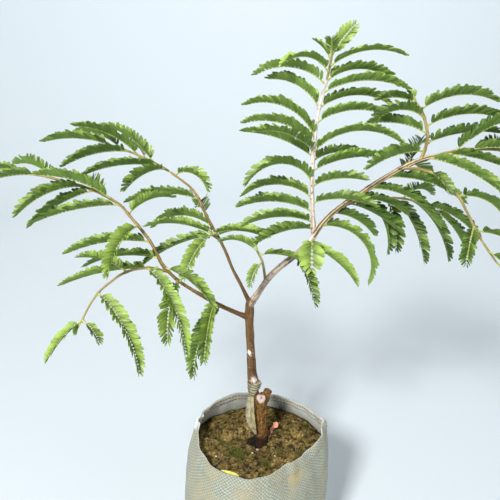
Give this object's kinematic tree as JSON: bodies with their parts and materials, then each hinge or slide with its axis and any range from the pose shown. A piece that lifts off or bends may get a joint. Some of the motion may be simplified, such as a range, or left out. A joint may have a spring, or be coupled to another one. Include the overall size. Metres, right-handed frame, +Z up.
{
  "type": "potted sweet tamarind",
  "caption": "Young grafted sweet tamarind tree with feathery arching leaves, growing in soil in a round woven grow bag that stands on its flat bottom.",
  "frame": {"origin": "middle of the bag's flat bottom, on the surface that it stands on", "axes": "+Z up; +X to the right and -Y to the front as the picture shows it"},
  "size_m": [0.8115, 0.2939, 0.8126],
  "materials": {
    "woven_bag": "woven polypropylene tape cloth, slightly shiny",
    "potting_soil": "damp crumbly soil with patches of moss, rough",
    "rootstock_bark": "rough brown bark with a pale cut face",
    "scion_bark": "thin bark with small dark pores, turning green to the tips",
    "graft_tape": "stretched polythene film, translucent and creased",
    "tamarind_leaf": "soft matt leaf blade, paler below",
    "yellow_leaflet": "fallen yellow leaflet, matt",
    "dry_leaf": "dry curled leaf, matt"
  },
  "bodies": {
    "root": {"grow_bag": "woven_bag", "soil": "potting_soil", "rootstock": "rootstock_bark", "scion_wood": "scion_bark", "graft_tape": "graft_tape", "fallen_leaflet": "yellow_leaflet", "dry_leaf": "dry_leaf", "mid_twig": "tamarind_leaf", "left_twig": "tamarind_leaf", "left_spur": "tamarind_leaf", "right_up_twig": "tamarind_leaf", "right_low_twig": "tamarind_leaf", "inner_twig": "tamarind_leaf", "upright_tip": "tamarind_leaf", "right_tip": "tamarind_leaf", "left_b_tip": "tamarind_leaf", "left_c_tip": "tamarind_leaf", "upright_frond_01": "tamarind_leaf", "upright_frond_02": "tamarind_leaf", "upright_frond_03": "tamarind_leaf", "upright_frond_04": "tamarind_leaf", "upright_frond_05": "tamarind_leaf", "upright_frond_06": "tamarind_leaf", "upright_frond_07": "tamarind_leaf", "upright_frond_08": "tamarind_leaf", "upright_frond_09": "tamarind_leaf", "upright_frond_10": "tamarind_leaf", "upright_frond_11": "tamarind_leaf", "upright_frond_12": "tamarind_leaf", "upright_frond_13": "tamarind_leaf", "upright_frond_14": "tamarind_leaf", "upright_frond_15": "tamarind_leaf", "upright_frond_16": "tamarind_leaf", "upright_frond_17": "tamarind_leaf", "upright_frond_18": "tamarind_leaf", "upright_frond_19": "tamarind_leaf", "upright_frond_20": "tamarind_leaf", "foot_frond_01": "tamarind_leaf", "foot_frond_02": "tamarind_leaf", "foot_frond_03": "tamarind_leaf", "right_frond_01": "tamarind_leaf", "right_frond_02": "tamarind_leaf", "right_frond_03": "tamarind_leaf", "right_frond_04": "tamarind_leaf", "right_frond_05": "tamarind_leaf", "right_frond_06": "tamarind_leaf", "right_frond_07": "tamarind_leaf", "right_frond_08": "tamarind_leaf", "left_b_frond_01": "tamarind_leaf", "left_b_frond_02": "tamarind_leaf", "left_b_frond_03": "tamarind_leaf", "left_b_frond_04": "tamarind_leaf", "left_c_frond_01": "tamarind_leaf", "left_c_frond_02": "tamarind_leaf", "left_c_frond_03": "tamarind_leaf", "left_c_frond_04": "tamarind_leaf", "left_c_frond_05": "tamarind_leaf", "left_c_frond_06": "tamarind_leaf", "left_c_frond_07": "tamarind_leaf", "left_c_frond_08": "tamarind_leaf"}
  },
  "joints": []
}
